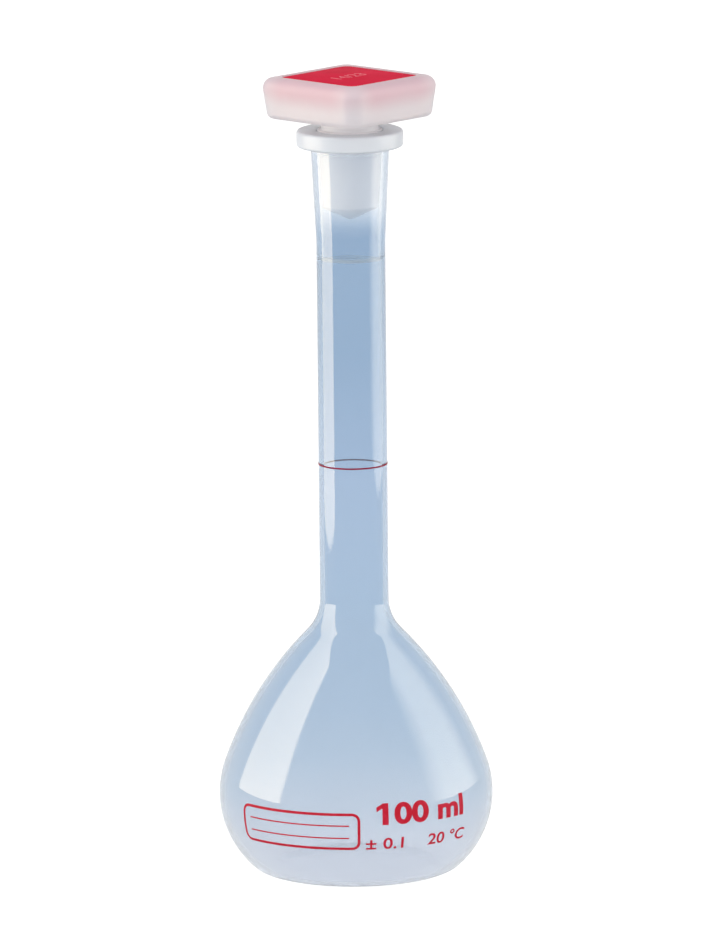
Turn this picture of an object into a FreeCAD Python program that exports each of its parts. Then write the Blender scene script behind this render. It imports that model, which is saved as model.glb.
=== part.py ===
"""Volumetric flask of 100 ml in moulded plastic, with its stopper.

The flask stands on the plane z = 0 and its axis is the Z axis. All sizes are in millimetres.
Every round piece is a half section, drawn as radius and height, and turned about the axis.
"""
import FreeCAD, Part
import math
import os

# Bulb, measured on its outside
BULB_DIAMETER = 61.0
WIDEST_HEIGHT = 17.3
STAND_INSET = 10.8
STAND_RING_WIDTH = 1.5
PUSH_UP = 1.9
HEEL_RADIUS = 5.8
SHOULDER_RADIUS = 81.0
SHOULDER_START_DEGREES = 19.7
NECK_CURVE_RADIUS = 10.3
WALL = 1.2

# Mouth, a standard 14/23 conical socket with a flange round it
FLASK_HEIGHT = 166.9
SOCKET_MOUTH_DIAMETER = 14.5
SOCKET_LENGTH = 23.0
TAPER = 0.1
SOCKET_WALL = 1.55
SOCKET_RUNOUT = 2.0
THROAT_LENGTH = 4.6
THROAT_BEVEL = 0.9
MOUTH_LEAD = 0.4
FLANGE_OVERHANG = 2.95
FLANGE_THICKNESS = 3.7
FLANGE_EDGE_RADIUS = 0.7

# Mark printed round the neck at the nominal volume
MARK_HEIGHT = 91.9
MARK_WIDTH = 0.35
INK_THICKNESS = 0.06

# Stopper plug, from its tip in the socket to the bead that holds the grip head
SEAT_CLEARANCE = 0.03
PLUG_LENGTH = 17.4
PLUG_PROUD = 0.1
PLUG_TIP_DROP = 2.8
PLUG_TIP_RADIUS = 2.0
PLUG_CHAMFER = 0.6
PLUG_FLOOR = 1.6
SHANK_STEP = 0.8
SHANK_WALL = 1.4
BEAD_RISE = 0.5
SHANK_CLEARANCE = 0.05
HEAD_PLAY = 0.1

# Grip head, a square cap that leans in towards its underside
HEAD_GAP = 2.75
HEAD_HEIGHT = 9.15
HEAD_RIM = 3.9
HEAD_CORNER_RADIUS = 3.8
HEAD_LEAN_DEGREES = 6.6
HEAD_TOP_EDGE = 2.8
HEAD_BOTTOM_EDGE = 1.2
HEAD_FLOOR = 1.8
LEDGE_WIDTH = 1.2
HEAD_TURN_DEGREES = 47.4

# Coloured insert, a square lid with a skirt, let into the top of the head
INSERT_SIDE = 22.0
INSERT_CORNER_RADIUS = 1.8
INSERT_DEPTH = 4.4
INSERT_PLATE = 1.2
INSERT_WALL = 1.2
INSERT_RECESS = 0.1
INSERT_CLEARANCE = 0.05

# Sizes of the neck and mouth that follow from the ones above
THROAT_RADIUS = (SOCKET_MOUTH_DIAMETER - TAPER * SOCKET_LENGTH) / 2
NECK_RADIUS = THROAT_RADIUS + SOCKET_WALL
SOCKET_OUTSIDE_LENGTH = SOCKET_LENGTH + SOCKET_RUNOUT
FLANGE_RADIUS = NECK_RADIUS + SOCKET_OUTSIDE_LENGTH * TAPER / 2 + FLANGE_OVERHANG

# Sizes of the stopper that follow from the ones above
PLUG_TOP = FLASK_HEIGHT + PLUG_PROUD
SHANK_RADIUS = SOCKET_MOUTH_DIAMETER / 2 - SEAT_CLEARANCE - SHANK_STEP
HEAD_BOTTOM = FLASK_HEIGHT + HEAD_GAP
HEAD_TOP = HEAD_BOTTOM + HEAD_HEIGHT
HEAD_SIDE = INSERT_SIDE + 2 * HEAD_RIM
INSERT_TOP = HEAD_TOP - INSERT_RECESS
INSERT_BOTTOM = INSERT_TOP - INSERT_DEPTH
SHANK_TOP = INSERT_TOP - INSERT_PLATE - HEAD_PLAY

AXIS = FreeCAD.Vector(0, 0, 1)
ORIGIN = FreeCAD.Vector(0, 0, 0)
ML = 1000.0


class HalfSection:
    """A closed half section in the X-Z plane, drawn from the axis outwards and back to it."""

    def __init__(self, height):
        self.first = FreeCAD.Vector(0, 0, height)
        self.last = self.first
        self.edges = []

    def line(self, radius, height):
        """Draws a straight side to the given radius and height."""
        end = FreeCAD.Vector(radius, 0, height)
        self.edges.append(Part.LineSegment(self.last, end).toShape())
        self.last = end

    def arc(self, centre, radius, height):
        """Draws the shorter arc round a centre, a (radius, height) pair, to the given point."""
        hub = FreeCAD.Vector(centre[0], 0, centre[1])
        end = FreeCAD.Vector(radius, 0, height)
        middle = (self.last - hub) + (end - hub)
        middle.normalize()
        middle = hub + middle * (end - hub).Length
        self.edges.append(Part.Arc(self.last, middle, end).toShape())
        self.last = end

    def turned(self):
        """Closes the section along the axis and turns it once round."""
        self.edges.append(Part.LineSegment(self.last, self.first).toShape())
        face = Part.Face(Part.Wire(self.edges))
        return face.revolve(ORIGIN, AXIS, 360)


def along(centre, radius, angle):
    """The point at an angle, in radians above the horizon, on a circle in the half section."""
    return centre[0] + radius * math.cos(angle), centre[1] + radius * math.sin(angle)


def draw_bulb(section, inset):
    """Draws the bulb from the top of its push-up to the start of the neck.

    The push-up, heel, belly, shoulder and neck curve are tangent arcs. An inset of zero gives the
    outside, and an inset of the wall gives the inside, round the same centres.
    """
    stand_radius = BULB_DIAMETER / 2 - STAND_INSET
    ring_inside = stand_radius - STAND_RING_WIDTH
    dome_radius = (ring_inside**2 + PUSH_UP**2) / (2 * PUSH_UP)
    dome_centre = (0, PUSH_UP - dome_radius)
    dome_edge = math.sqrt((dome_radius + inset) ** 2 - (inset - dome_centre[1]) ** 2)

    heel_centre = (stand_radius, HEEL_RADIUS)
    belly_rise = WIDEST_HEIGHT - HEEL_RADIUS
    belly_radius = (STAND_INSET**2 + belly_rise**2 - HEEL_RADIUS**2) / (2 * (STAND_INSET - HEEL_RADIUS))
    belly_centre = (BULB_DIAMETER / 2 - belly_radius, WIDEST_HEIGHT)
    heel_angle = math.atan2(heel_centre[1] - belly_centre[1], heel_centre[0] - belly_centre[0])

    shoulder_start = math.radians(SHOULDER_START_DEGREES)
    shoulder_centre = along(belly_centre, belly_radius - SHOULDER_RADIUS, shoulder_start)
    curve_reach = NECK_RADIUS + NECK_CURVE_RADIUS - shoulder_centre[0]
    shoulder_end = math.acos(curve_reach / (SHOULDER_RADIUS + NECK_CURVE_RADIUS))
    curve_centre = along(shoulder_centre, SHOULDER_RADIUS + NECK_CURVE_RADIUS, shoulder_end)

    section.arc(dome_centre, dome_edge, inset)
    section.line(stand_radius, inset)
    section.arc(heel_centre, *along(belly_centre, belly_radius - inset, heel_angle))
    section.arc(belly_centre, *along(belly_centre, belly_radius - inset, shoulder_start))
    section.arc(shoulder_centre, *along(shoulder_centre, SHOULDER_RADIUS - inset, shoulder_end))
    section.arc(curve_centre, NECK_RADIUS - inset, curve_centre[1])


def flask_outside():
    """The flask as if it were filled solid: bulb, neck, socket and flange."""
    flange_bottom = FLASK_HEIGHT - FLANGE_THICKNESS
    socket_radius = NECK_RADIUS + (SOCKET_OUTSIDE_LENGTH - FLANGE_THICKNESS) * TAPER / 2
    edge_radius = FLANGE_RADIUS - FLANGE_EDGE_RADIUS
    section = HalfSection(PUSH_UP)
    draw_bulb(section, 0)
    section.line(NECK_RADIUS, FLASK_HEIGHT - SOCKET_OUTSIDE_LENGTH)
    section.line(socket_radius, flange_bottom)
    section.line(edge_radius, flange_bottom)
    lower_edge = flange_bottom + FLANGE_EDGE_RADIUS
    section.arc((edge_radius, lower_edge), FLANGE_RADIUS, lower_edge)
    upper_edge = FLASK_HEIGHT - FLANGE_EDGE_RADIUS
    section.line(FLANGE_RADIUS, upper_edge)
    section.arc((edge_radius, upper_edge), edge_radius, FLASK_HEIGHT)
    section.line(0, FLASK_HEIGHT)
    return section.turned()


def flask_inside():
    """The hollow of the flask, from the floor of the bulb to the mouth."""
    taper_end = FLASK_HEIGHT - SOCKET_LENGTH
    step = taper_end - THROAT_LENGTH
    mouth_radius = SOCKET_MOUTH_DIAMETER / 2
    lead_radius = mouth_radius - MOUTH_LEAD * TAPER / 2
    section = HalfSection(PUSH_UP + WALL)
    draw_bulb(section, WALL)
    section.line(NECK_RADIUS - WALL, step - THROAT_BEVEL)
    section.line(THROAT_RADIUS, step)
    section.line(THROAT_RADIUS, taper_end)
    section.line(lead_radius, FLASK_HEIGHT - MOUTH_LEAD)
    section.line(mouth_radius + MOUTH_LEAD, FLASK_HEIGHT)
    section.line(0, FLASK_HEIGHT)
    return section.turned()


def flask_body():
    """The one-piece moulded vessel."""
    return flask_outside().cut(flask_inside())


def contained_millilitres():
    """The volume that the flask holds up to the middle of its mark."""
    below_mark = Part.makeCylinder(BULB_DIAMETER, MARK_HEIGHT)
    return flask_inside().common(below_mark).Volume / ML


def graduation_ring():
    """The printed line round the neck, a thin band of ink on the outside."""
    foot = FreeCAD.Vector(0, 0, MARK_HEIGHT - MARK_WIDTH / 2)
    band = Part.makeCylinder(NECK_RADIUS + INK_THICKNESS, MARK_WIDTH, foot)
    return band.cut(Part.makeCylinder(NECK_RADIUS, MARK_WIDTH, foot))


def plug_radius(height):
    """The radius of the plug's cone at a height, a seat clearance inside the socket."""
    return SOCKET_MOUTH_DIAMETER / 2 - SEAT_CLEARANCE + (height - FLASK_HEIGHT) * TAPER / 2


def stopper_plug():
    """The hollow tapered plug, its pointed floor, its shank and the bead under the insert."""
    corner = FLASK_HEIGHT - PLUG_LENGTH
    cone_radius = plug_radius(corner) - PLUG_CHAMFER
    slope = math.atan(PLUG_TIP_DROP / cone_radius)
    apex = corner - PLUG_TIP_DROP
    tip_centre = (0, apex + PLUG_TIP_RADIUS / math.cos(slope))
    bore_radius = SHANK_RADIUS - SHANK_WALL
    bore_apex = apex + PLUG_FLOOR / math.cos(slope)
    bead = HEAD_BOTTOM + HEAD_FLOOR + HEAD_PLAY

    section = HalfSection(tip_centre[1] - PLUG_TIP_RADIUS)
    section.arc(tip_centre, *along(tip_centre, PLUG_TIP_RADIUS, slope - math.pi / 2))
    section.line(cone_radius, corner)
    section.line(plug_radius(corner + PLUG_CHAMFER), corner + PLUG_CHAMFER)
    section.line(plug_radius(PLUG_TOP), PLUG_TOP)
    section.line(SHANK_RADIUS, PLUG_TOP)
    section.line(SHANK_RADIUS, bead)
    section.line(SHANK_RADIUS + BEAD_RISE, bead)
    section.line(SHANK_RADIUS + BEAD_RISE, bead + BEAD_RISE)
    section.line(SHANK_RADIUS, bead + 2 * BEAD_RISE)
    section.line(SHANK_RADIUS, SHANK_TOP)
    section.line(bore_radius, SHANK_TOP)
    section.line(bore_radius, bore_apex + bore_radius * math.tan(slope))
    section.line(0, bore_apex)
    return section.turned()


def rounded_square(side, corner_radius, height):
    """A square outline with round corners, centred on the axis at a height."""
    reach = side / 2
    straight = reach - corner_radius
    middle = straight + corner_radius * math.sqrt(0.5)
    edges = []
    for quarter in range(4):
        turn = FreeCAD.Rotation(AXIS, 90 * quarter)
        side_start = turn.multVec(FreeCAD.Vector(reach, -straight, height))
        side_end = turn.multVec(FreeCAD.Vector(reach, straight, height))
        corner_middle = turn.multVec(FreeCAD.Vector(middle, middle, height))
        corner_end = turn.multVec(FreeCAD.Vector(straight, reach, height))
        edges.append(Part.LineSegment(side_start, side_end).toShape())
        edges.append(Part.Arc(side_end, corner_middle, corner_end).toShape())
    return Part.Wire(edges)


def square_prism(side, corner_radius, bottom, top):
    """An upright prism on a rounded square."""
    outline = rounded_square(side, corner_radius, bottom)
    return Part.Face(outline).extrude(AXIS * (top - bottom))


def edges_at(shape, height):
    """The edges of a shape that lie flat at a height."""
    tolerance = 1e-6
    flat = []
    for edge in shape.Edges:
        box = edge.BoundBox
        if abs(box.ZMin - height) < tolerance and abs(box.ZMax - height) < tolerance:
            flat.append(edge)
    return flat


def turned_as_found(shape):
    """Turns a square piece to the angle at which the stopper sits in the flask."""
    return shape.rotated(ORIGIN, AXIS, HEAD_TURN_DEGREES)


def grip_head():
    """The square grip, with its pocket for the insert and its hole for the shank."""
    bottom_side = HEAD_SIDE - 2 * HEAD_HEIGHT * math.tan(math.radians(HEAD_LEAN_DEGREES))
    lower = rounded_square(bottom_side, HEAD_CORNER_RADIUS, HEAD_BOTTOM)
    upper = rounded_square(HEAD_SIDE, HEAD_CORNER_RADIUS, HEAD_TOP)
    head = Part.makeLoft([lower, upper], True, True)
    head = head.makeFillet(HEAD_TOP_EDGE, edges_at(head, HEAD_TOP))
    head = head.makeFillet(HEAD_BOTTOM_EDGE, edges_at(head, HEAD_BOTTOM))

    pocket_side = INSERT_SIDE + 2 * INSERT_CLEARANCE
    pocket_corner = INSERT_CORNER_RADIUS + INSERT_CLEARANCE
    floor_top = HEAD_BOTTOM + HEAD_FLOOR
    pocket = square_prism(pocket_side, pocket_corner, INSERT_BOTTOM, HEAD_TOP)
    hollow = square_prism(pocket_side - 2 * LEDGE_WIDTH, pocket_corner, floor_top, HEAD_TOP)
    hole_foot = FreeCAD.Vector(0, 0, HEAD_BOTTOM)
    hole = Part.makeCylinder(SHANK_RADIUS + SHANK_CLEARANCE, HEAD_HEIGHT, hole_foot)
    return turned_as_found(head.cut([pocket, hollow, hole]).removeSplitter())


def colour_insert():
    """The coloured lid: a flat plate with a skirt that stands on the ledge in the head."""
    block = square_prism(INSERT_SIDE, INSERT_CORNER_RADIUS, INSERT_BOTTOM, INSERT_TOP)
    inside = square_prism(
        INSERT_SIDE - 2 * INSERT_WALL, INSERT_CORNER_RADIUS, INSERT_BOTTOM, INSERT_TOP - INSERT_PLATE
    )
    return turned_as_found(block.cut(inside))


PIECES = {
    "flask_body": flask_body,
    "graduation_ring": graduation_ring,
    "stopper_plug": stopper_plug,
    "grip_head": grip_head,
    "colour_insert": colour_insert,
}


def main():
    """Builds every piece, writes its STEP file and prints what the flask holds."""
    os.makedirs("parts", exist_ok=True)
    for name, build in PIECES.items():
        shape = build()
        shape.exportStep(f"parts/{name}.step")
        print(f"{name}: {len(shape.Solids)} solid, {shape.Volume / ML:.3f} ml of plastic")
    print(f"holds {contained_millilitres():.2f} ml up to the mark")


main()
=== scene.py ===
"""The looks of a plastic volumetric flask of 100 ml with its stopper.

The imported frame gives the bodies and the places. This script turns the flask and the plug as fine
shells, models the square head and its lid, prints the ink, and adds finishes, light and the camera.
All sizes are in metres, and the flask's axis is the Z axis.
"""
import logging
import math
from dataclasses import dataclass
from enum import Enum

import bpy
from mathutils import Matrix, Vector


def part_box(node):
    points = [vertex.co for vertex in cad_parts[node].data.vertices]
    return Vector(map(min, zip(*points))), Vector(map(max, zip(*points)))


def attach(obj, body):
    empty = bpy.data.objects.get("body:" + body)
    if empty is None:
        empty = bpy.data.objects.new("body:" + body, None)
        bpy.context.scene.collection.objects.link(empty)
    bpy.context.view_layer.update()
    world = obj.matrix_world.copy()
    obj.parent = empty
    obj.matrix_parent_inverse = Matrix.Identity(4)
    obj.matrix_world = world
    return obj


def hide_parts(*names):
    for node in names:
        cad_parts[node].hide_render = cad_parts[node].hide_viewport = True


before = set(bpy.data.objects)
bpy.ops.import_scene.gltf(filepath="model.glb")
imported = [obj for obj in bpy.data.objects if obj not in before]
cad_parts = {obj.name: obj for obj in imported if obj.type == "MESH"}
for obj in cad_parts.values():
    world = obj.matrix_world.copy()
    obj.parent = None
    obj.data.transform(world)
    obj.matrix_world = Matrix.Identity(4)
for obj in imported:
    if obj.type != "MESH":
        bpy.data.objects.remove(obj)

MM = 0.001
# Points that are nearer to each other than this count as one.
TOUCH = 0.001 * MM
LOG = logging.getLogger("flask")

Piece = bpy.types.Object
Point = tuple[float, float]
Colour = tuple[float, float, float, float]


class Body(Enum):
    """The CAD bodies that the pieces ride on."""

    FLASK = "flask"
    PLUG = "plug"
    HEAD = "head"


class Slot(Enum):
    """The material slots of the record."""

    CLEAR = "clear_plastic"
    INK = "mark_ink"
    NATURAL = "natural_plastic"
    RED = "red_plastic"


class Output(Enum):
    """What a web of nodes belongs to."""

    MATERIAL = "OutputMaterial"
    WORLD = "OutputWorld"
    LAMP = "OutputLight"


class Edges(Enum):
    """The edges of a square block that can be picked."""

    UPRIGHT = "upright"
    LEVEL = "level"


def screen_colour(red: int, green: int, blue: int) -> Colour:
    """Turns a colour as a screen shows it, 0 to 255, into the light that a shader takes."""
    linear = [((share / 255 + 0.055) / 1.055) ** 2.4 for share in (red, green, blue)]
    return linear[0], linear[1], linear[2], 1.0


def grey(level: float) -> Colour:
    """A grey, which a ramp hands on as a value."""
    return level, level, level, 1.0


class Wire:
    """A shader socket that can stand in a Python expression."""

    def __init__(self, web: "Web", socket: bpy.types.NodeSocket) -> None:
        """Keeps the socket and the web of nodes that it belongs to."""
        self.web = web
        self.socket = socket

    def __add__(self, other: "Wire | float") -> "Wire":
        """Adds a value or a socket."""
        return self.web.maths("ADD", self, other)

    def __sub__(self, other: "Wire | float") -> "Wire":
        """Takes away a value or a socket."""
        return self.web.maths("SUBTRACT", self, other)

    def __rsub__(self, other: float) -> "Wire":
        """Is taken away from a value."""
        return self.web.maths("SUBTRACT", other, self)

    def __mul__(self, other: "Wire | float") -> "Wire":
        """Multiplies by a value or a socket."""
        return self.web.maths("MULTIPLY", self, other)

    def or_more(self, other: "Wire | float") -> "Wire":
        """The larger of the two values."""
        return self.web.maths("MAXIMUM", self, other)

    def or_less(self, other: "Wire | float") -> "Wire":
        """The smaller of the two values."""
        return self.web.maths("MINIMUM", self, other)

    def unsigned(self) -> "Wire":
        """The value without its sign."""
        return self.web.maths("ABSOLUTE", self, 0.0)

    def between(self, low: float, high: float) -> "Wire":
        """A value that goes from low to high while this one goes from 0 to 1."""
        return self * (high - low) + low

    def rise(self, start: float, end: float) -> "Wire":
        """A soft step from 0 to 1 while the value goes from a start to an end."""
        smooth = {"interpolation_type": "SMOOTHSTEP"}
        return self.web.node("MapRange", smooth, {0: self, 1: start, 2: end})

    def axis(self, letter: str) -> "Wire":
        """The X, Y or Z of a vector."""
        return self.web.node("SeparateXYZ", {}, {"Vector": self}, letter)

    __radd__ = __add__
    __rmul__ = __mul__


class Web:
    """The node tree of one finish, lamp or world."""

    def __init__(self, tree: bpy.types.NodeTree, output: Output) -> None:
        """Empties the tree and gives it its output.

        Args:
            tree: The node tree.
            output: What it belongs to.
        """
        self.tree = tree
        tree.nodes.clear()
        self.end = tree.nodes.new("ShaderNode" + output.value)

    def node(self, kind: str, settings: dict, sockets: dict, output: str | int = 0) -> Wire:
        """Adds a node.

        Args:
            kind: The node's type, without its ShaderNode prefix.
            settings: Its own settings, set first; stops holds a ramp's places and colours.
            sockets: The values or wires of its inputs, by name or number.
            output: The output that the wire stands for.

        Returns:
            The wire from that output.
        """
        made = self.tree.nodes.new("ShaderNode" + kind)
        for name, value in settings.items():
            if name == "stops":
                self.set_stops(made.color_ramp, value)
            else:
                setattr(made, name, value)
        for key, value in sockets.items():
            if isinstance(value, Wire):
                self.tree.links.new(value.socket, made.inputs[key])
            else:
                made.inputs[key].default_value = value
        return Wire(self, made.outputs[output])

    @staticmethod
    def set_stops(ramp: bpy.types.ColorRamp, stops: list[tuple[float, Colour]]) -> None:
        """Gives a colour ramp its stops.

        Args:
            ramp: The ramp, which starts with two stops.
            stops: The places, from 0 to 1, and the colours.
        """
        while len(ramp.elements) < len(stops):
            ramp.elements.new(1.0)
        for element, (place, colour) in zip(ramp.elements, stops):
            element.position = place
            element.color = colour

    def maths(self, operation: str, first: "Wire | float", second: "Wire | float") -> Wire:
        """Adds a Math node on two values."""
        return self.node("Math", {"operation": operation}, {0: first, 1: second})

    def place(self) -> Wire:
        """The point on the surface, in Object coordinates."""
        return self.node("TexCoord", {}, {}, "Object")

    def height(self) -> Wire:
        """The height of the point on the surface."""
        return self.place().axis("Z")

    def radius(self) -> Wire:
        """The distance of the point on the surface from the Z axis."""
        level = {0: self.place(), 1: (1.0, 1.0, 0.0)}
        flat = self.node("VectorMath", {"operation": "MULTIPLY"}, level)
        return self.node("VectorMath", {"operation": "LENGTH"}, {0: flat}, "Value")

    def ramp(self, factor: Wire, stops: list[tuple[float, Colour]]) -> Wire:
        """A colour, or a grey read as a value, that changes along a factor."""
        return self.node("ValToRGB", {"stops": stops}, {"Fac": factor})

    def noise(self, scale: float, detail: float) -> Wire:
        """Soft noise from 0 to 1 on Object coordinates, with scale in waves a metre."""
        sockets = {"Vector": self.place(), "Scale": scale, "Detail": detail}
        return self.node("TexNoise", {}, sockets)

    def bump(self, height: Wire, strength: float, depth: float) -> Wire:
        """A normal that follows a height."""
        sockets = {"Height": height, "Strength": strength, "Distance": depth}
        return self.node("Bump", {}, sockets)

    def plastic(self, sockets: dict) -> Wire:
        """A Principled shader with the given sockets."""
        return self.node("BsdfPrincipled", {}, sockets)

    def mix(self, factor: Wire, first: Wire, second: Wire) -> Wire:
        """A mix of two shaders."""
        return self.node("MixShader", {}, {0: factor, 1: first, 2: second})

    def use(self, shader: Wire, part: str = "Surface") -> None:
        """Makes a shader the surface, or the volume, of what the web belongs to."""
        self.tree.links.new(shader.socket, self.end.inputs[part])

    def ray(self, kind: str) -> Wire:
        """One where a ray is of a kind that the Light Path node knows."""
        return self.node("LightPath", {}, {}, kind)

    def mirrored(self) -> Wire:
        """One where a ray comes from a shiny surface or through clear plastic."""
        return self.ray("Is Glossy Ray").or_more(self.ray("Is Transmission Ray"))


class Finish:
    """A finish, which weaves its own nodes into a new material."""

    name: str

    def weave(self, web: Web) -> None:
        """Adds the nodes of the finish to an empty web."""
        raise NotImplementedError

    def material(self) -> bpy.types.Material:
        """Makes the material of the finish.

        Returns:
            The material.
        """
        made = bpy.data.materials.new(self.name)
        made.use_nodes = True
        self.weave(Web(made.node_tree, Output.MATERIAL))
        return made


@dataclass(frozen=True)
class ClearPlastic(Finish):
    """Clear moulded plastic with a painted blue of a backdrop seen through it, hazier at the base
    and milky at the flange.
    """

    flask_height: float
    step_height: float
    bore_radius: float
    name: str = "clear_moulded_plastic"
    ior: float = 1.46
    ripple_scale: float = 70.0
    cloud_scale: float = 45.0
    painted_highlight_core: float = 0.22 * MM
    painted_highlight_reach: float = 0.55 * MM
    painted_highlight_depth: float = 0.5 * MM
    painted_backdrop_depth_colour: Colour = (0.42, 0.59, 0.76, 1.0)
    depth_density: float = 130.0

    def painted_backdrop_tint(self, web: Web, level: Wire) -> Wire:
        """The painted blue of a backdrop seen through the wall, strongest in the neck and nearly
        gone round the stopper.
        """
        return web.ramp(level, [
            (0.00, screen_colour(246, 245, 249)),
            (0.06, screen_colour(237, 238, 243)),
            (0.12, screen_colour(217, 227, 236)),
            (0.18, screen_colour(210, 223, 235)),
            (0.35, screen_colour(209, 223, 236)),
            (0.54, screen_colour(206, 220, 235)),
            (0.70, screen_colour(196, 213, 229)),
            (0.86, screen_colour(196, 213, 229)),
            (0.90, screen_colour(251, 252, 254)),
        ])

    def haze(self, web: Web, level: Wire) -> Wire:
        """The milkiness of the wall, with a fine milky line where the moulded socket ends, which is
        a painted highlight of the step's bevel.

        Args:
            web: The nodes of the finish.
            level: The height on the flask, from 0 to 1.

        Returns:
            The milkiness, from 0 to 1.
        """
        wall = web.ramp(level, [
            (0.00, grey(0.20)),
            (0.05, grey(0.19)),
            (0.11, grey(0.12)),
            (0.30, grey(0.05)),
            (0.54, grey(0.06)),
            (0.56, grey(0.03)),
            (0.97, grey(0.04)),
            (0.98, grey(0.80)),
        ])
        # The milky line at the step is a painted highlight of its bevel catching the light.
        from_step = (level * self.flask_height - self.step_height).unsigned()
        line = 1.0 - from_step.rise(self.painted_highlight_core, self.painted_highlight_reach)
        inside = 1.0 - web.radius().rise(self.bore_radius, self.bore_radius + self.painted_highlight_depth)
        return wall.or_more(line * inside)

    def weave(self, web: Web) -> None:
        """Mixes the clear and the milky plastic, and lets the light of the lamps through.

        Args:
            web: The nodes of the finish.
        """
        level = web.height() * (1.0 / self.flask_height)
        ripple = web.noise(self.ripple_scale, detail=1.0)
        cloud = web.noise(self.cloud_scale, detail=2.0)
        # Its base colour is the painted blue of a backdrop seen through the wall.
        clear = web.plastic({
            "Base Color": self.painted_backdrop_tint(web, level),
            "Roughness": cloud.between(0.03, 0.06),
            "IOR": self.ior,
            "Transmission Weight": 1.0,
            "Normal": web.bump(ripple, strength=0.02, depth=0.4 * MM),
        })
        milk = web.plastic({
            "Base Color": screen_colour(238, 241, 245),
            "Roughness": 0.35,
            "IOR": self.ior,
            "Specular IOR Level": 0.12,
        })
        wall = web.mix(self.haze(web, level) * cloud.between(0.8, 1.2), clear, milk)
        passed = web.node("BsdfTransparent", {}, {"Color": screen_colour(247, 249, 252)})
        web.use(web.mix(web.ray("Is Shadow Ray"), wall, passed))
        # The blue absorption is also painted blue of a backdrop, deepest at the rims where the path
        # through the wall is longest.
        depth = {"Color": self.painted_backdrop_depth_colour, "Density": self.depth_density}
        web.use(web.node("VolumeAbsorption", {}, depth), "Volume")


def milky(web: Web, tone: Wire, depth: dict) -> Wire:
    """Milky plastic with a fine satin grain.

    Args:
        web: The nodes of the finish.
        tone: The colour.
        depth: The sockets that say how light passes under the surface.

    Returns:
        The shader.
    """
    grain = web.noise(scale=900.0, detail=2.0)
    return web.plastic({
        "Base Color": tone,
        "Roughness": grain.between(0.36, 0.48),
        "IOR": 1.49,
        "Specular IOR Level": 0.12,
        "Normal": web.bump(grain, strength=0.05, depth=0.1 * MM),
        **depth,
    })


@dataclass(frozen=True)
class NaturalPlastic(Finish):
    """Milky uncoloured plastic that lets a little light through."""

    name: str = "milky_natural_plastic"

    def weave(self, web: Web) -> None:
        """Makes the plug's plastic, a little cloudy.

        Args:
            web: The nodes of the finish.
        """
        tone = web.ramp(web.noise(scale=60.0, detail=2.0), [
            (0.3, screen_colour(242, 241, 243)),
            (0.7, screen_colour(246, 245, 247)),
        ])
        web.use(milky(web, tone, {
            "Subsurface Weight": 0.3,
            "Subsurface Radius": (1.0, 1.0, 1.0),
            "Subsurface Scale": 1.5 * MM,
        }))


@dataclass(frozen=True)
class HeadPlastic(Finish):
    """Milky plastic of the head, with a painted pink glow where the skirt of the lid stands behind
    it.
    """

    turn: float
    skirt_reach: float
    foot: float
    skirt_bottom: float
    name: str = "milky_head_plastic"
    corner_start: float = 0.6
    corner_end: float = 1.2
    corner_painted_glow: float = 0.65
    foot_painted_glow: float = 0.4
    shadow_share: float = 0.95

    def glow(self, web: Web) -> Wire:
        """How strongly the painted pink glow of the lid's skirt shows, from 0 to 1.

        Args:
            web: The nodes of the finish.

        Returns:
            The painted glow: full on the four faces beside the skirt, weaker below it and at the
                corners.
        """
        turned = {"Vector": web.place(), "Rotation": (0.0, 0.0, -self.turn)}
        squared = web.node("Mapping", {}, turned)
        nearer = squared.axis("X").unsigned().or_less(squared.axis("Y").unsigned())
        start = self.corner_start * self.skirt_reach
        corner = nearer.rise(start, self.corner_end * self.skirt_reach)
        blur = (self.skirt_bottom - self.foot) / 2
        beside = web.height().rise(self.skirt_bottom - blur, self.skirt_bottom + blur)
        return corner.between(1.0, self.corner_painted_glow) * beside.between(self.foot_painted_glow, 1.0)

    def weave(self, web: Web) -> None:
        """Makes the head's plastic, which lets most of the light of the lamps through.

        Args:
            web: The nodes of the finish.
        """
        cloud = web.noise(scale=110.0, detail=2.0)
        # The pink in this colour is a painted glow of the red skirt showing through the plastic.
        tone = web.ramp(self.glow(web) * cloud.between(0.9, 1.1), [
            (0.0, screen_colour(231, 233, 238)),
            (0.4, screen_colour(229, 223, 227)),
            (1.0, screen_colour(221, 192, 202)),
        ])
        solid = milky(web, tone, {
            "Transmission Weight": 0.25,
            "Subsurface Weight": 0.5,
            "Subsurface Radius": (1.0, 0.9, 0.9),
            "Subsurface Scale": 3.0 * MM,
        })
        passed = web.node("BsdfTransparent", {}, {"Color": screen_colour(248, 244, 245)})
        web.use(web.mix(web.ray("Is Shadow Ray") * self.shadow_share, solid, passed))


@dataclass(frozen=True)
class RedPlastic(Finish):
    """Satin red moulded plastic."""

    name: str = "satin_red_plastic"
    deep: Colour = screen_colour(206, 32, 60)
    full: Colour = screen_colour(222, 38, 70)

    def weave(self, web: Web) -> None:
        """Makes the lid's plastic, a little cloudy and with a fine grain.

        Args:
            web: The nodes of the finish.
        """
        grain = web.noise(scale=1200.0, detail=3.0)
        cloud = web.noise(scale=120.0, detail=2.0)
        web.use(web.plastic({
            "Base Color": web.ramp(cloud, [(0.3, self.deep), (0.7, self.full)]),
            "Roughness": grain.between(0.5, 0.65),
            "Specular IOR Level": 0.012,
            "Normal": web.bump(grain, strength=0.15, depth=0.1 * MM),
        }))


@dataclass(frozen=True)
class Ink(Finish):
    """Printing ink that lies flat on the plastic, a little uneven in its film."""

    name: str
    thin: Colour
    full: Colour

    def weave(self, web: Web) -> None:
        """Makes the film of ink.

        Args:
            web: The nodes of the finish.
        """
        film = web.noise(scale=700.0, detail=3.0)
        web.use(web.plastic({
            "Base Color": web.ramp(film, [(0.35, self.thin), (0.6, self.full)]),
            "Roughness": film.between(0.4, 0.6),
            "Specular IOR Level": 0.1,
        }))


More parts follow.
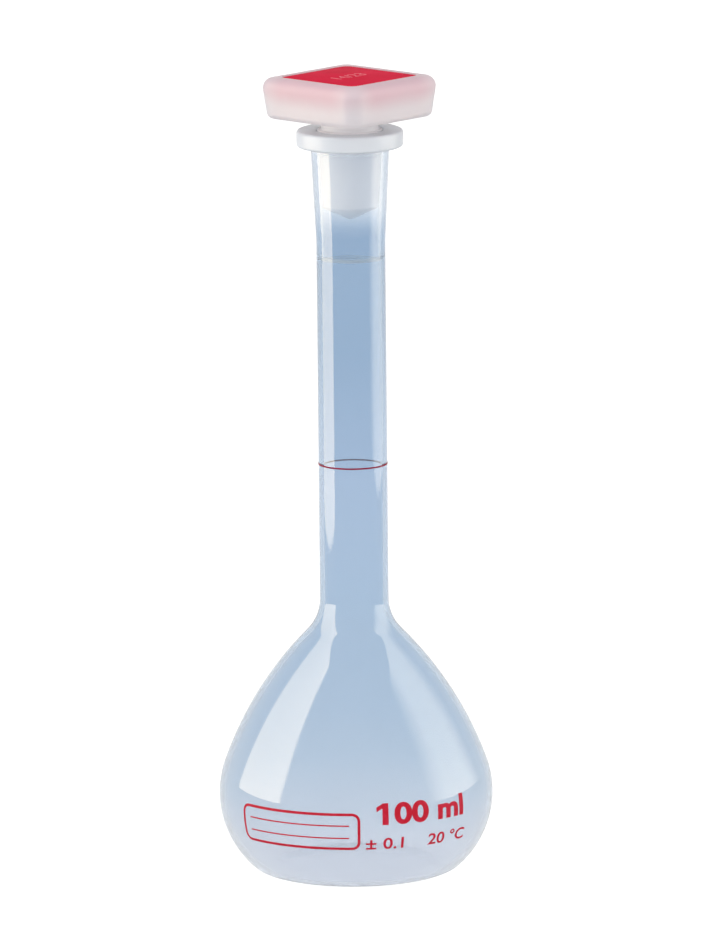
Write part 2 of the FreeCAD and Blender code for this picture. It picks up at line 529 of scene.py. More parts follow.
@dataclass(frozen=True)
class PaleFloor(Finish):
    """Plain pale paint of the floor, which shows white in gloss and through clear plastic."""

    name: str = "pale_floor"
    tone: float = 0.8
    seen_tone: float = 0.5
    seen_glow: float = 0.76

    def weave(self, web: Web) -> None:
        """Makes the paint as the camera sees it, as gloss sees it and as it throws light back.

        Args:
            web: The nodes of the finish.
        """
        matt = web.node("BsdfDiffuse", {}, {"Color": grey(self.tone)})
        part = web.node("BsdfDiffuse", {}, {"Color": grey(self.seen_tone)})
        glow = web.node("Emission", {}, {"Strength": self.seen_glow})
        white = web.node("Emission", {}, {"Strength": 1.0})
        shown = web.node("AddShader", {}, {0: part, 1: glow})
        unseen = web.mix(web.mirrored(), matt, white)
        web.use(web.mix(web.ray("Is Camera Ray"), unseen, shown))


def open_mesh() -> None:
    """Opens the active mesh for editing."""
    bpy.ops.object.mode_set(mode="EDIT")


def close_mesh() -> None:
    """Closes the mesh that is being edited."""
    bpy.ops.object.mode_set(mode="OBJECT")


def deselect_all() -> None:
    """Leaves edit mode and selects nothing."""
    if bpy.context.object and bpy.context.object.mode != "OBJECT":
        close_mesh()
    bpy.ops.object.select_all(action="DESELECT")


def select_only(piece: Piece) -> None:
    """Makes one piece the only selected and active object.

    Args:
        piece: The piece.
    """
    deselect_all()
    piece.select_set(True)
    bpy.context.view_layer.objects.active = piece


def settle(piece: Piece, smooth_degrees: float) -> None:
    """Puts the place in the mesh, merges doubles, turns faces outwards and smooths gentle edges.

    Args:
        piece: The piece.
        smooth_degrees: The angle up to which an edge is shaded smooth.
    """
    select_only(piece)
    bpy.ops.object.transform_apply(location=True, rotation=True, scale=True)
    open_mesh()
    bpy.ops.mesh.select_all(action="SELECT")
    bpy.ops.mesh.remove_doubles(threshold=TOUCH)
    bpy.ops.mesh.normals_make_consistent(inside=False)
    close_mesh()
    bpy.ops.object.shade_smooth_by_angle(angle=math.radians(smooth_degrees))


def use_modifier(piece: Piece, kind: str, settings: dict) -> None:
    """Adds a modifier to a piece and applies it.

    Args:
        piece: The piece.
        kind: The modifier's type.
        settings: Its settings.
    """
    select_only(piece)
    modifier = piece.modifiers.new(kind.lower(), kind)
    for name, value in settings.items():
        setattr(modifier, name, value)
    bpy.ops.object.modifier_apply(modifier=modifier.name)


def clothe(piece: Piece, finish: bpy.types.Material, body: Body) -> None:
    """Gives a piece its finish and the body that it rides on, and reports it.

    Args:
        piece: The piece.
        finish: Its material.
        body: The body that it moves with.
    """
    piece.data.materials.clear()
    piece.data.materials.append(finish)
    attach(piece, body.value)
    LOG.info("%s: %d faces, rides on %s", piece.name, len(piece.data.polygons), body.value)


def on_circle(centre: Point, reach: float, angle: float) -> Point:
    """The point at an angle above the horizon on a circle in the half section."""
    return centre[0] + reach * math.cos(angle), centre[1] + reach * math.sin(angle)


class HalfSection:
    """An outline in radius and height, drawn from point to point and then turned."""

    def __init__(self, radius: float, height: float) -> None:
        """Starts the outline."""
        self.points: list[Point] = [(radius, height)]

    def lines(self, *points: Point) -> None:
        """Draws straight sides to points of a radius and a height each."""
        self.points += points

    def arc(self, centre: Point, end: Point, steps: int) -> None:
        """Draws the shorter arc round a centre.

        Args:
            centre: The arc's centre.
            end: The point that it ends at.
            steps: The number of straight steps that it is drawn in.
        """
        first = self.points[-1]
        start = math.atan2(first[1] - centre[1], first[0] - centre[0])
        stop = math.atan2(end[1] - centre[1], end[0] - centre[0])
        turn = math.remainder(stop - start, math.tau)
        reach = math.dist(centre, end)
        for step in range(1, steps + 1):
            self.points.append(on_circle(centre, reach, start + turn * step / steps))

    def turned(self, name: str, steps: int) -> Piece:
        """Draws the outline by extruding one vertex from point to point, and spins it.

        Args:
            name: The piece's name.
            steps: The number of steps in the turn.

        Returns:
            The turned piece.
        """
        deselect_all()
        bpy.ops.mesh.primitive_plane_add(size=MM)
        piece = bpy.context.object
        piece.name = name
        open_mesh()
        bpy.ops.mesh.merge(type="CENTER")
        here = (0.0, 0.0)
        for number, there in enumerate(self.points):
            step = {"value": (there[0] - here[0], 0.0, there[1] - here[1])}
            if number == 0:
                bpy.ops.transform.translate(**step)
            else:
                bpy.ops.mesh.extrude_vertices_move(TRANSFORM_OT_translate=step)
            here = there
        bpy.ops.mesh.select_all(action="SELECT")
        bpy.ops.mesh.spin(steps=steps, angle=math.tau, center=(0, 0, 0), axis=(0, 0, 1))
        return piece


@dataclass
class FlaskShell:
    """The moulded vessel: bulb, neck, conical socket and flange."""

    height: float
    bulb_radius: float
    neck_radius: float
    wall: float = 1.2 * MM
    widest_height: float = 17.3 * MM
    stand_inset: float = 10.8 * MM
    stand_ring_width: float = 1.5 * MM
    push_up: float = 1.9 * MM
    heel_radius: float = 5.8 * MM
    shoulder_radius: float = 81.0 * MM
    shoulder_start: float = math.radians(19.7)
    neck_curve_radius: float = 10.3 * MM
    socket_mouth_radius: float = 7.25 * MM
    socket_length: float = 23.0 * MM
    socket_runout: float = 2.0 * MM
    half_taper: float = 0.05
    throat_length: float = 4.6 * MM
    throat_bevel: float = 0.9 * MM
    mouth_lead: float = 0.4 * MM
    flange_overhang: float = 2.95 * MM
    flange_thickness: float = 3.7 * MM
    flange_edge_radius: float = 0.7 * MM
    dome_steps: int = 12
    curve_steps: int = 14
    wide_curve_steps: int = 18
    edge_steps: int = 6
    turn_steps: int = 192

    def draw_bulb(self, section: HalfSection, inset: float) -> list[Point]:
        """Draws the bulb from the rim of its push-up to the foot of the neck.

        Args:
            section: The outline to draw on, which stands at the top of the push-up.
            inset: How far inside the outer skin the line runs.

        Returns:
            The points of the bulb.
        """
        start = len(section.points)
        stand_radius = self.bulb_radius - self.stand_inset
        ring_inside = stand_radius - self.stand_ring_width
        dome_radius = (ring_inside**2 + self.push_up**2) / (2 * self.push_up)
        dome_centre = (0.0, self.push_up - dome_radius)
        dome_edge = math.sqrt((dome_radius + inset) ** 2 - (inset - dome_centre[1]) ** 2)

        heel_centre = (stand_radius, self.heel_radius)
        rise = self.widest_height - self.heel_radius
        belly_radius = self.stand_inset**2 + rise**2 - self.heel_radius**2
        belly_radius /= 2 * (self.stand_inset - self.heel_radius)
        belly_centre = (self.bulb_radius - belly_radius, self.widest_height)
        heel_angle = math.atan2(heel_centre[1] - belly_centre[1], heel_centre[0] - belly_centre[0])
        heel_end = on_circle(belly_centre, belly_radius - inset, heel_angle)
        belly_end = on_circle(belly_centre, belly_radius - inset, self.shoulder_start)

        past_belly = belly_radius - self.shoulder_radius
        shoulder_centre = on_circle(belly_centre, past_belly, self.shoulder_start)
        both_radii = self.shoulder_radius + self.neck_curve_radius
        curve_reach = self.neck_radius + self.neck_curve_radius - shoulder_centre[0]
        end_angle = math.acos(curve_reach / both_radii)
        shoulder_end = on_circle(shoulder_centre, self.shoulder_radius - inset, end_angle)
        curve_centre = on_circle(shoulder_centre, both_radii, end_angle)

        section.arc(dome_centre, (dome_edge, inset), self.dome_steps)
        section.lines((stand_radius, inset))
        section.arc(heel_centre, heel_end, self.curve_steps)
        section.arc(belly_centre, belly_end, self.wide_curve_steps)
        section.arc(shoulder_centre, shoulder_end, self.wide_curve_steps)
        curve_end = (self.neck_radius - inset, curve_centre[1])
        section.arc(curve_centre, curve_end, self.curve_steps)
        return section.points[start:]

    def skin(self) -> list[Point]:
        """The outer skin of the bulb, from the standing ring up to the neck."""
        return self.draw_bulb(HalfSection(0.0, self.push_up), 0.0)[self.dome_steps:]

    def step_foot(self) -> float:
        """The height at which the step inside the neck ends in the bore."""
        return self.height - self.socket_length - self.throat_length - self.throat_bevel

    def build(self) -> Piece:
        """Turns the wall of the flask, outside and inside, as one closed shell.

        Returns:
            The shell.
        """
        section = HalfSection(0.0, self.push_up)
        self.draw_bulb(section, 0.0)
        outside_length = self.socket_length + self.socket_runout
        taper_length = outside_length - self.flange_thickness
        flange_bottom = self.height - self.flange_thickness
        flange_inside = self.neck_radius + outside_length * self.half_taper
        flange_radius = flange_inside + self.flange_overhang
        edge = flange_radius - self.flange_edge_radius
        low_edge = flange_bottom + self.flange_edge_radius
        high_edge = self.height - self.flange_edge_radius
        section.lines(
            (self.neck_radius, self.height - outside_length),
            (self.neck_radius + taper_length * self.half_taper, flange_bottom),
            (edge, flange_bottom),
        )
        section.arc((edge, low_edge), (flange_radius, low_edge), self.edge_steps)
        section.lines((flange_radius, high_edge))
        section.arc((edge, high_edge), (edge, self.height), self.edge_steps)

        throat_radius = self.socket_mouth_radius - self.socket_length * self.half_taper
        lead_radius = self.socket_mouth_radius - self.mouth_lead * self.half_taper
        section.lines(
            (self.socket_mouth_radius + self.mouth_lead, self.height),
            (lead_radius, self.height - self.mouth_lead),
            (throat_radius, self.height - self.socket_length),
            (throat_radius, self.step_foot() + self.throat_bevel),
            (self.neck_radius - self.wall, self.step_foot()),
        )
        inner = HalfSection(0.0, self.push_up + self.wall)
        section.points += reversed(self.draw_bulb(inner, self.wall))
        section.lines((0.0, self.push_up + self.wall))
        piece = section.turned("flask_shell", self.turn_steps)
        settle(piece, smooth_degrees=25.0)
        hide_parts("flask_body")
        return piece

    def dress(self, piece: Piece) -> None:
        """Gives the shell its clear plastic."""
        plastic = ClearPlastic(self.height, self.step_foot(), self.neck_radius - self.wall)
        clothe(piece, plastic.material(), Body.FLASK)


@dataclass
class MarkRing:
    """The ring of ink round the neck at the nominal volume."""

    neck_radius: float
    bottom: float
    top: float
    ink: float
    lift: float = 0.008 * MM
    fade_share: float = 1 / 5
    edge_share: float = 1 / 3
    turn_steps: int = 192

    def build(self) -> Piece:
        """Turns the ring with a rounded film edge.

        Returns:
            The ring.
        """
        inside = self.neck_radius + self.lift
        outside = self.neck_radius + self.ink
        edge = outside - self.ink * self.edge_share
        fade = (self.top - self.bottom) * self.fade_share
        section = HalfSection(inside, self.bottom)
        section.lines(
            (edge, self.bottom),
            (outside, self.bottom + fade),
            (outside, self.top - fade),
            (edge, self.top),
            (inside, self.top),
            (inside, self.bottom),
        )
        piece = section.turned("mark_ring", self.turn_steps)
        settle(piece, smooth_degrees=60.0)
        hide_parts("graduation_ring")
        return piece

    def dress(self, piece: Piece) -> None:
        """Gives the ring its dark red ink."""
        ink = Ink("ring_ink", screen_colour(150, 24, 58), screen_colour(128, 16, 46))
        clothe(piece, ink.material(), Body.FLASK)


def flat_words(text: str, weight: float) -> Piece:
    """Lettering as a flat mesh in X and Y.

    Args:
        text: The letters and numbers.
        weight: How much the strokes are thickened, in shares of the letter's size.

    Returns:
        The flat mesh.
    """
    deselect_all()
    bpy.ops.object.text_add(location=(0, 0, 0))
    words = bpy.context.object
    words.data.body = text
    words.data.offset = weight
    words.data.resolution_u = 5
    bpy.ops.object.convert(target="MESH")
    return bpy.context.object


def flat_plate(width: float, height: float, up: float) -> Piece:
    """A flat rectangle in X and Y.

    Args:
        width: Its width.
        height: Its height.
        up: How far its middle lies above the X axis.

    Returns:
        The rectangle, open for editing.
    """
    deselect_all()
    bpy.ops.mesh.primitive_plane_add(size=1.0, location=(0, 0, 0))
    open_mesh()
    bpy.ops.transform.resize(value=(width, height, 1.0))
    bpy.ops.transform.translate(value=(0.0, up, 0.0))
    return bpy.context.object


@dataclass(frozen=True)
class NumeralFlag:
    """The flag of a leading 1, which the font draws as a plain bar, in shares of a letter."""

    reach: float = 0.16
    drop: float = 0.13
    stroke: float = 0.16
    overlap: float = 0.03
    bar_edge: float = 0.01

    def add(self, words: Piece) -> None:
        """Joins the flag to the bar.

        Args:
            words: The flat lettering, of size 1.
        """
        left = min(vertex.co.x for vertex in words.data.vertices)
        bar = [v.co.y for v in words.data.vertices if v.co.x < left + self.bar_edge]
        top = max(bar)
        select_only(words)
        open_mesh()
        bpy.ops.mesh.select_all(action="DESELECT")
        bpy.ops.mesh.primitive_plane_add(size=1.0, location=(0, 0, 0))
        close_mesh()
        for vertex in words.data.vertices:
            if vertex.select:
                at_bar = vertex.co.x > 0
                at_top = vertex.co.y > 0
                vertex.co.x = left + self.overlap if at_bar else left - self.reach
                vertex.co.y = top - (0 if at_bar else self.drop) - (0 if at_top else self.stroke)


@dataclass
class BulbPrint:
    """Flat artwork that is laid on the skin of the bulb along a circle of latitude."""

    name: str
    skin: list[Point]
    baseline: float
    start_degrees: float
    width: float
    height: float
    lift: float = 0.012 * MM
    ink: float = 0.03 * MM
    cell: float = 0.9 * MM

    def lay(self, piece: Piece) -> Piece:
        """Fits a flat mesh to the print's size, cuts it into small cells and lays it on the bulb.

        Args:
            piece: The flat mesh, drawn in X and Y.

        Returns:
            The laid print, with the thickness of its ink.
        """
        piece.name = self.name
        select_only(piece)
        low = [min(v.co[axis] for v in piece.data.vertices) for axis in (0, 1)]
        high = [max(v.co[axis] for v in piece.data.vertices) for axis in (0, 1)]
        open_mesh()
        bpy.ops.mesh.select_all(action="SELECT")
        bpy.ops.mesh.remove_doubles(threshold=1e-5)
        bpy.ops.transform.translate(value=(-low[0], -low[1], 0.0))
        stretch = (self.width / (high[0] - low[0]), self.height / (high[1] - low[1]), 1.0)
        bpy.ops.transform.resize(value=stretch, center_override=(0, 0, 0))
        for axis, length in enumerate((self.width, self.height)):
            cuts = math.ceil(length / self.cell)
            across = [0.0, 0.0, 0.0]
            across[axis] = 1.0
            for cut in range(1, cuts):
                spot = [length * cut / cuts * share for share in across]
                bpy.ops.mesh.select_all(action="SELECT")
                bpy.ops.mesh.bisect(plane_co=spot, plane_no=across)
        close_mesh()
        for vertex in piece.data.vertices:
            vertex.co = self.on_skin(vertex.co.x, vertex.co.y)
        use_modifier(piece, "SOLIDIFY", {"thickness": self.ink, "offset": 1.0})
        settle(piece, smooth_degrees=40.0)
        return piece

    def on_skin(self, along: float, up: float) -> Vector:
        """The place on the bulb of a point of the flat artwork.

        Args:
            along: How far the point is from the print's left end.
            up: How far it is above the baseline.

        Returns:
            The place, a film's lift outside the skin.
        """
        base_radius, _, _ = self.along_skin(0.0)
        radius, height, slope = self.along_skin(up)
        angle = math.radians(self.start_degrees) + along / base_radius
        radius += self.lift * math.cos(slope)
        height += self.lift * math.sin(slope)
        return Vector((radius * math.sin(angle), -radius * math.cos(angle), height))

    def along_skin(self, up: float) -> tuple[float, float, float]:
        """Follows the skin upwards from the baseline.

        Args:
            up: The length to follow it for.

        Returns:
            The radius and height there, and the angle of the skin's normal above the horizon.
        """
        left = up
        for (r0, z0), (r1, z1) in zip(self.skin, self.skin[1:]):
            if z1 <= self.baseline:
                continue
            length = math.hypot(r1 - r0, z1 - z0)
            share = max(0.0, (self.baseline - z0) / (z1 - z0))
            room = length * (1 - share)
            if left <= room:
                share += left / length
                slope = math.atan2(r0 - r1, z1 - z0)
                return r0 + share * (r1 - r0), z0 + share * (z1 - z0), slope
            left -= room
        raise ValueError("the print runs past the bulb")

    def words(self, text: str, weight: float) -> Piece:
        """Lays plain lettering on the bulb.

        Args:
            text: The letters and numbers.
            weight: How much the strokes are thickened, in shares of the letter's size.

        Returns:
            The laid lettering.
        """
        flat = flat_words(text, weight)
        if text.startswith("1"):
            NumeralFlag().add(flat)
        return self.lay(flat)

    def field(self, line: float, rooms: int) -> Piece:
        """Lays a ruled field for writing on the bulb.

        Args:
            line: The width of its frame.
            rooms: The number of rooms that thin rules part it into.

        Returns:
            The laid field.
        """
        corner = 3 * line
        piece = flat_plate(self.width, self.height, 0.0)
        bpy.ops.mesh.bevel(offset=corner, segments=6, affect="VERTICES")
        bpy.ops.mesh.inset(thickness=line)
        bpy.ops.mesh.delete(type="FACE")
        for rule in range(1, rooms):
            up = self.height * (rule / rooms - 0.5)
            flat_plate(self.width - 2 * (line + corner), line / 2, up)
            close_mesh()
            piece.select_set(True)
            bpy.context.view_layer.objects.active = piece
            bpy.ops.object.join()
        return self.lay(piece)

    def dress(self, piece: Piece, ink: bpy.types.Material) -> None:
        """Gives the print the ink that it shares with the others."""
        clothe(piece, ink, Body.FLASK)


@dataclass
class StopperPlug:
    """The hollow tapered plug with its pointed floor, its shank and its bead."""

    flask_height: float
    top: float
    head_bottom: float
    seat_radius: float = 7.22 * MM
    half_taper: float = 0.05
    length: float = 17.4 * MM
    proud: float = 0.1 * MM
    tip_drop: float = 2.8 * MM
    tip_radius: float = 2.0 * MM
    chamfer: float = 0.6 * MM
    floor: float = 1.6 * MM
    shank_step: float = 0.8 * MM
    shank_wall: float = 1.4 * MM
    bead_rise: float = 0.5 * MM
    bead_room: float = 1.9 * MM
    edge: float = 0.2 * MM
    edge_angle: float = math.radians(35.0)
    turn_steps: int = 128

    def cone(self, height: float) -> float:
        """The radius of the seat at a height."""
        return self.seat_radius + (height - self.flask_height) * self.half_taper

    def build(self) -> Piece:
        """Turns the plug.

        Returns:
            The plug.
        """
        corner = self.flask_height - self.length
        shoulder = self.flask_height + self.proud
        cone_radius = self.cone(corner) - self.chamfer
        slope = math.atan(self.tip_drop / cone_radius)
        apex = corner - self.tip_drop
        tip_centre = (0.0, apex + self.tip_radius / math.cos(slope))
        tip_end = on_circle(tip_centre, self.tip_radius, slope - math.pi / 2)
        shank = self.seat_radius - self.shank_step
        bore = shank - self.shank_wall
        bore_apex = apex + self.floor / math.cos(slope)
        bead = self.head_bottom + self.bead_room

        section = HalfSection(0.0, tip_centre[1] - self.tip_radius)
        section.arc(tip_centre, tip_end, steps=6)
        section.lines(
            (cone_radius, corner),
            (self.cone(corner + self.chamfer), corner + self.chamfer),
            (self.cone(shoulder), shoulder),
            (shank, shoulder),
            (shank, bead),
            (shank + self.bead_rise, bead),
            (shank + self.bead_rise, bead + self.bead_rise),
            (shank, bead + 2 * self.bead_rise),
            (shank, self.top),
            (bore, self.top),
            (bore, bore_apex + bore * math.tan(slope)),
            (0.0, bore_apex),
        )
        piece = section.turned("plug_shell", self.turn_steps)
        settle(piece, smooth_degrees=30.0)
        use_modifier(piece, "BEVEL", {
            "width": self.edge,
            "segments": 3,
            "limit_method": "ANGLE",
            "angle_limit": self.edge_angle,
        })
        settle(piece, smooth_degrees=30.0)
        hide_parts("stopper_plug")
        return piece

    def dress(self, piece: Piece) -> None:
        """Gives the plug its milky plastic."""
        clothe(piece, NaturalPlastic().material(), Body.PLUG)


@dataclass
class StopperHead:
    """The square grip head with its coloured lid."""

    bottom: float
    top: float
    lid_bottom: float
    lid_top: float
    side: float = 29.8 * MM
    corner_radius: float = 3.8 * MM
    lean: float = math.radians(6.6)
    top_edge: float = 2.8 * MM
    bottom_edge: float = 1.2 * MM
    floor: float = 1.8 * MM
    ledge: float = 1.2 * MM
    hole_radius: float = 6.47 * MM
    turn: float = math.radians(47.4)
    lid_side: float = 22.0 * MM
    lid_corner_radius: float = 1.8 * MM
    lid_plate: float = 1.2 * MM
    lid_wall: float = 1.2 * MM
    lid_edge: float = 0.25 * MM
    clearance: float = 0.05 * MM
    numerals_width: float = 9.0 * MM
    numeral_rise: float = 0.08 * MM
    smooth_degrees: float = 30.0

    @staticmethod
    def pick(piece: Piece, wanted: Edges, height: float = 0.0) -> None:
        """Selects upright edges, or the edges round the flat face at a height, in edit mode.

        Args:
            piece: The piece.
            wanted: The edges to pick.
            height: The height of the level edges.
        """
        bpy.ops.mesh.select_all(action="DESELECT")
        close_mesh()
        places = [piece.matrix_world @ vertex.co for vertex in piece.data.vertices]
        for edge in piece.data.edges:
            ends = [places[number].z for number in edge.vertices]
            if wanted is Edges.UPRIGHT:
                edge.select = abs(ends[0] - ends[1]) > MM
            else:
                edge.select = all(abs(end - height) < TOUCH for end in ends)
        open_mesh()

    def block(self, name: str, side: float, corner: float, bottom: float, top: float) -> Piece:
        """An upright square block with round upright corners, still square to the axes.

        Args:
            name: The block's name.
            side: Its side.
            corner: The radius of its corners.
            bottom: The height of its foot.
            top: The height of its top.

        Returns:
            The block, in edit mode.
        """
        deselect_all()
        size = (side, side, top - bottom)
        bpy.ops.mesh.primitive_cube_add(size=1.0, location=(0, 0, (top + bottom) / 2), scale=size)
        piece = bpy.context.object
        piece.name = name
        bpy.ops.object.transform_apply(location=True, rotation=True, scale=True)
        open_mesh()
        bpy.ops.mesh.select_mode(type="EDGE")
        self.pick(piece, Edges.UPRIGHT)
        bpy.ops.mesh.bevel(offset=corner, segments=10, affect="EDGES")
        return piece

    @staticmethod
    def cut(piece: Piece, cutter: Piece) -> None:
        """Cuts one shape, which is used up, out of a piece."""
        settings = {"operation": "DIFFERENCE", "object": cutter, "solver": "EXACT"}
        use_modifier(piece, "BOOLEAN", settings)
        bpy.data.objects.remove(cutter)

    def turn_as_found(self, piece: Piece) -> None:
        """Turns a square piece to the angle at which the stopper sits in the flask.

        Args:
            piece: The piece.
        """
        select_only(piece)
        open_mesh()
        bpy.ops.mesh.select_all(action="SELECT")
        bpy.ops.transform.rotate(value=-self.turn, orient_axis="Z", center_override=(0, 0, 0))
        close_mesh()

    def build_head(self) -> Piece:
        """Models the grip head and cuts the pocket, the hollow and the hole for the shank.

        Returns:
            The head.
        """
        piece = self.block("head_shell", self.side, self.corner_radius, self.bottom, self.top)
        foot_side = self.side - 2 * (self.top - self.bottom) * math.tan(self.lean)
        self.pick(piece, Edges.LEVEL, self.bottom)
        shrink = foot_side / self.side
        bpy.ops.transform.resize(value=(shrink, shrink, 1.0), center_override=(0, 0, self.bottom))
        self.pick(piece, Edges.LEVEL, self.top)
        bpy.ops.mesh.bevel(offset=self.top_edge, segments=10, affect="EDGES")
        self.pick(piece, Edges.LEVEL, self.bottom)
        bpy.ops.mesh.bevel(offset=self.bottom_edge, segments=6, affect="EDGES")

        pocket_side = self.lid_side + 2 * self.clearance
        pocket_corner = self.lid_corner_radius + self.clearance
        above = self.top + MM
        hollow_side = pocket_side - 2 * self.ledge
        hollow_foot = self.bottom + self.floor
        self.cut(piece, self.block("pocket", pocket_side, pocket_corner, self.lid_bottom, above))
        self.cut(piece, self.block("hollow", hollow_side, pocket_corner, hollow_foot, above))
        deselect_all()
        middle = (0, 0, self.bottom + self.floor / 2)
        bpy.ops.mesh.primitive_cylinder_add(
            vertices=96, radius=self.hole_radius, depth=3 * self.floor, location=middle
        )
        self.cut(piece, bpy.context.object)
        self.turn_as_found(piece)
        settle(piece, self.smooth_degrees)
        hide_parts("grip_head")
        return piece

    def build_lid(self) -> Piece:
        """Models the coloured lid with its skirt.

        Returns:
            The lid.
        """
        corner = self.lid_corner_radius
        piece = self.block("insert_lid", self.lid_side, corner, self.lid_bottom, self.lid_top)
        self.pick(piece, Edges.LEVEL, self.lid_top)
        bpy.ops.mesh.bevel(offset=self.lid_edge, segments=3, affect="EDGES")
        inside_side = self.lid_side - 2 * self.lid_wall
        inside_top = self.lid_top - self.lid_plate
        below = self.lid_bottom - MM
        self.cut(piece, self.block("lid_inside", inside_side, corner, below, inside_top))
        self.turn_as_found(piece)
        settle(piece, self.smooth_degrees)
        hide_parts("colour_insert")
        return piece

    def build_numerals(self) -> Piece:
        """Models the raised size of the cone on the lid.

        Returns:
            The numerals.
        """
        piece = flat_words("14/23", weight=0.0)
        piece.name = "cone_size_numerals"
        use_modifier(piece, "SOLIDIFY", {"thickness": 0.04, "offset": 1.0})
        select_only(piece)
        bpy.ops.object.origin_set(type="ORIGIN_GEOMETRY", center="BOUNDS")
        size = self.numerals_width / piece.dimensions.x
        rise = self.numeral_rise / piece.dimensions.z
        piece.location = (0, 0, self.lid_top + self.numeral_rise / 2)
        piece.scale = (size, size, rise)
        settle(piece, self.smooth_degrees)
        self.turn_as_found(piece)
        return piece

    def dress_head(self, piece: Piece) -> None:
        """Gives the head its milky plastic, with a painted pink glow beside the lid."""
        plastic = HeadPlastic(self.turn, self.lid_side / 2, self.bottom, self.lid_bottom)
        clothe(piece, plastic.material(), Body.HEAD)

    def dress_lid(self, piece: Piece) -> None:
        """Gives the lid its red plastic."""
        clothe(piece, RedPlastic().material(), Body.HEAD)

    def dress_numerals(self, piece: Piece) -> None:
        """Gives the numerals a paler red, a painted highlight of the raised numerals."""
        # The paler red is a painted highlight of the raised numerals catching the light.
        pale = Ink("numeral_painted_highlight", screen_colour(232, 112, 126), screen_colour(222, 88, 106))
        clothe(piece, pale.material(), Body.HEAD)


@dataclass
class Softbox:
    """A flat upright lamp with soft edges that stands near the bench and faces the flask."""

    name: str
    azimuth_degrees: float
    distance: float
    width: float
    height: float
    radiance: float
    soft_edge: float
    shine: Colour
    bottom: float = 0.02
    front_lean: float = 0.8
    face_share: float = 0.98

    def place(self) -> None:
        """Sets up the lamp, and a brighter face for it that shows in shiny surfaces only."""
        plain = self.add_lamp(self.name, self.distance, grey(self.radiance))
        face = self.add_lamp(self.name + "_face", self.face_share * self.distance, self.shine)
        face.visible_diffuse = False
        LOG.info("%s and %s are set up", plain.name, face.name)

    def add_lamp(self, name: str, distance: float, radiance: Colour) -> bpy.types.Object:
        """Adds a lamp at the softbox's place, out of the camera's sight.

        Args:
            name: The lamp's name.
            distance: How far from the flask it stands.
            radiance: Its brightness in each colour.

        Returns:
            The lamp.
        """
        angle = math.radians(self.azimuth_degrees)
        middle = self.bottom + self.height / 2
        spot = Vector((math.sin(angle) * distance, -math.cos(angle) * distance, middle))
        deselect_all()
        bpy.ops.object.light_add(type="AREA", location=spot)
        lamp = bpy.context.object
        lamp.name = name
        inwards = Vector((-spot.x, -spot.y, 0.0))
        lamp.rotation_euler = inwards.to_track_quat("-Z", "Y").to_euler()
        lamp.visible_camera = False
        lamp.visible_transmission = False
        lamp.data.shape = "RECTANGLE"
        lamp.data.size = self.width
        lamp.data.size_y = self.height
        lamp.data.energy = math.pi * self.width * self.height
        self.soften(lamp.data, radiance)
        return lamp

    def soften(self, lamp: bpy.types.Light, radiance: Colour) -> None:
        """Gives the lamp its brightness, which grows to the front and fades at its upright edges.

        Args:
            lamp: The lamp's light.
            radiance: Its brightness in each colour.
        """
        lamp.use_nodes = True
        web = Web(lamp.node_tree, Output.LAMP)
        across = web.node("NewGeometry", {}, {}, "Parametric").axis("X")
        fade = across.rise(0.0, self.soft_edge) * (1.0 - across).rise(0.0, self.soft_edge)
        towards_front = across if self.azimuth_degrees < 0 else 1.0 - across
        lean = (towards_front - 0.5) * self.front_lean + 1.0
        web.use(web.node("Emission", {}, {"Color": radiance, "Strength": fade * lean}))


@dataclass
class Studio:
    """The pale floor, the soft light and the white surroundings."""

    floor_size: float = 8.0
    ambient: float = 0.54
    front_fill: float = 1.1

    def build(self) -> None:
        """Sets up the floor, the world and the lamps."""
        self.lay_floor()
        self.light_world()
        Softbox(
            "softbox_left", azimuth_degrees=-89.0, distance=0.30, width=0.30, height=0.54,
            radiance=0.8, soft_edge=0.10, shine=(5.8, 4.7, 3.1, 1.0),
        ).place()
        Softbox(
            "softbox_right", azimuth_degrees=94.0, distance=0.36, width=0.50, height=0.50,
            radiance=0.6, soft_edge=0.40, shine=(3.5, 3.1, 2.4, 1.0),
        ).place()

    def lay_floor(self) -> None:
        """Lays the plain pale floor."""
        deselect_all()
        bpy.ops.mesh.primitive_plane_add(size=self.floor_size)
        floor = bpy.context.object
        floor.name = "floor"
        floor.data.materials.append(PaleFloor().material())

    def light_world(self) -> None:
        """Makes the surroundings white where they are seen, and lights the rest from the front."""
        world = bpy.data.worlds.new("white_surroundings")
        bpy.context.scene.world = world
        world.use_nodes = True
        web = Web(world.node_tree, Output.WORLD)
        seen = web.mirrored().or_more(web.ray("Is Camera Ray"))
        away = web.node("TexCoord", {}, {}, "Generated")
        front = (away.axis("Y") * -1.0).or_more(0.0)
        unseen = front * self.front_fill + self.ambient
        strength = seen + (1.0 - seen) * unseen
        web.use(web.node("Background", {}, {"Color": grey(1.0), "Strength": strength}))


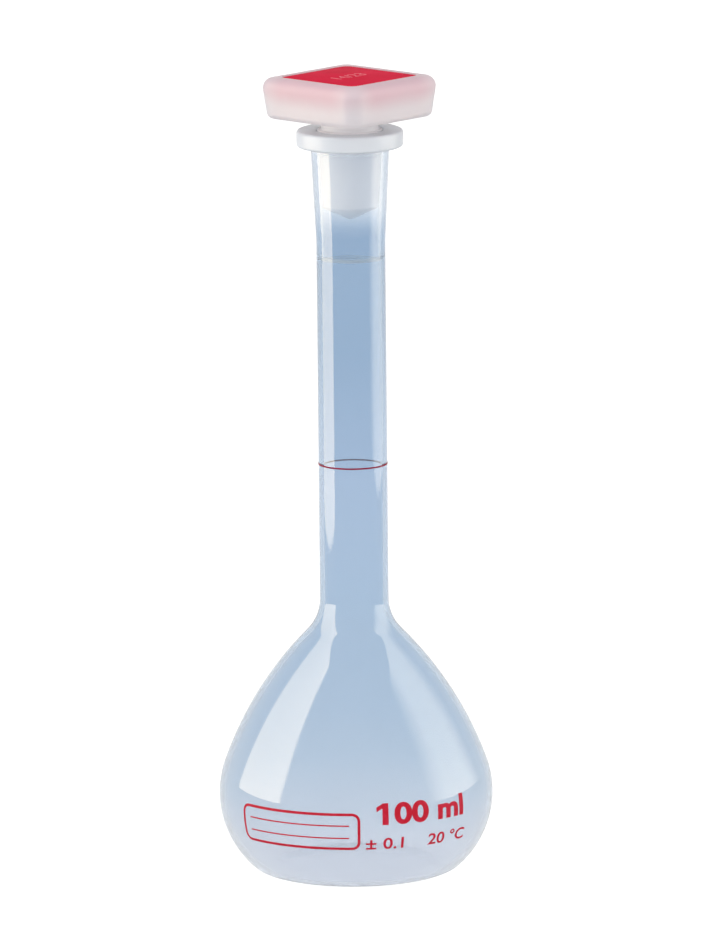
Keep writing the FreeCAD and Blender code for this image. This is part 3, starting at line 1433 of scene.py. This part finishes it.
@dataclass
class PhotoCamera:
    """The camera at the photograph's place, for a picture of 713 by 950 pixels."""

    target_height: float = 91.5 * MM
    distance: float = 2.6
    elevation: float = math.radians(10.852)
    roll: float = math.radians(0.556)
    pixels_per_metre: float = 4502.4
    picture_width: float = 713.0
    picture_height: float = 950.0
    target_across: float = 353.0
    target_down: float = 464.5
    sensor: float = 36.0
    clip_end: float = 50.0

    def place(self) -> None:
        """Sets the camera up and makes it the scene's."""
        right = Vector((1, 0, 0))
        back = Vector((0, -math.cos(self.elevation), math.sin(self.elevation)))
        up = back.cross(right)
        side = right * math.cos(self.roll) - up * math.sin(self.roll)
        top = right * math.sin(self.roll) + up * math.cos(self.roll)
        across = (self.picture_width / 2 - self.target_across) / self.pixels_per_metre
        down = (self.picture_height / 2 - self.target_down) / self.pixels_per_metre
        aim = Vector((0, 0, self.target_height)) + side * across - top * down
        turn = Matrix((side, top, back)).transposed().to_4x4()
        deselect_all()
        bpy.ops.object.camera_add()
        camera = bpy.context.object
        camera.matrix_world = Matrix.Translation(aim + back * self.distance) @ turn
        camera.data.sensor_width = self.sensor
        camera.data.lens = self.pixels_per_metre * self.distance * self.sensor / self.picture_height
        camera.data.clip_end = self.clip_end
        bpy.context.scene.camera = camera


def build_flask() -> None:
    """Builds and dresses the flask with its ring mark and its print."""
    ink_thickness = 0.06 * MM
    ring_low, ring_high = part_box("graduation_ring")
    flask_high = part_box("flask_body")[1]
    neck_radius = ring_high.x - ink_thickness
    shell = FlaskShell(flask_high.z, flask_high.x, neck_radius)
    shell.dress(shell.build())

    ring = MarkRing(neck_radius, ring_low.z, ring_high.z, ink_thickness)
    ring.dress(ring.build())

    red_ink = Ink("print_ink", screen_colour(196, 38, 62), screen_colour(188, 26, 46)).material()
    skin = shell.skin()
    low_line = 10.4 * MM
    volume = BulbPrint(
        "volume_print", skin, baseline=16.0 * MM, start_degrees=8.4,
        width=22.6 * MM, height=5.0 * MM,
    )
    volume.dress(volume.words("100 ml", weight=0.035), red_ink)
    limits = BulbPrint(
        "limits_print", skin, low_line, start_degrees=4.0, width=25.0 * MM, height=2.9 * MM
    )
    limits.dress(limits.words("± 0.1    20 °C", weight=0.015), red_ink)
    field = BulbPrint(
        "writing_field", skin, low_line, start_degrees=-55.0, width=29.0 * MM, height=8.6 * MM
    )
    field.dress(field.field(line=0.6 * MM, rooms=3), red_ink)


def build_stopper() -> None:
    """Builds and dresses the plug, the grip head and its lid."""
    flask_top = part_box("flask_body")[1].z
    head_low, head_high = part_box("grip_head")
    lid_low, lid_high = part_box("colour_insert")
    plug = StopperPlug(flask_top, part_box("stopper_plug")[1].z, head_low.z)
    plug.dress(plug.build())
    head = StopperHead(head_low.z, head_high.z, lid_low.z, lid_high.z)
    head.dress_head(head.build_head())
    head.dress_lid(head.build_lid())
    head.dress_numerals(head.build_numerals())


def main() -> None:
    """Builds the part, the studio and the camera."""
    logging.basicConfig(level=logging.INFO, format="%(name)s: %(message)s")
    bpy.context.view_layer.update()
    build_flask()
    build_stopper()
    Studio().build()
    PhotoCamera().place()
    bpy.context.scene.view_settings.view_transform = "Standard"


if __name__ == "__main__":
    main()
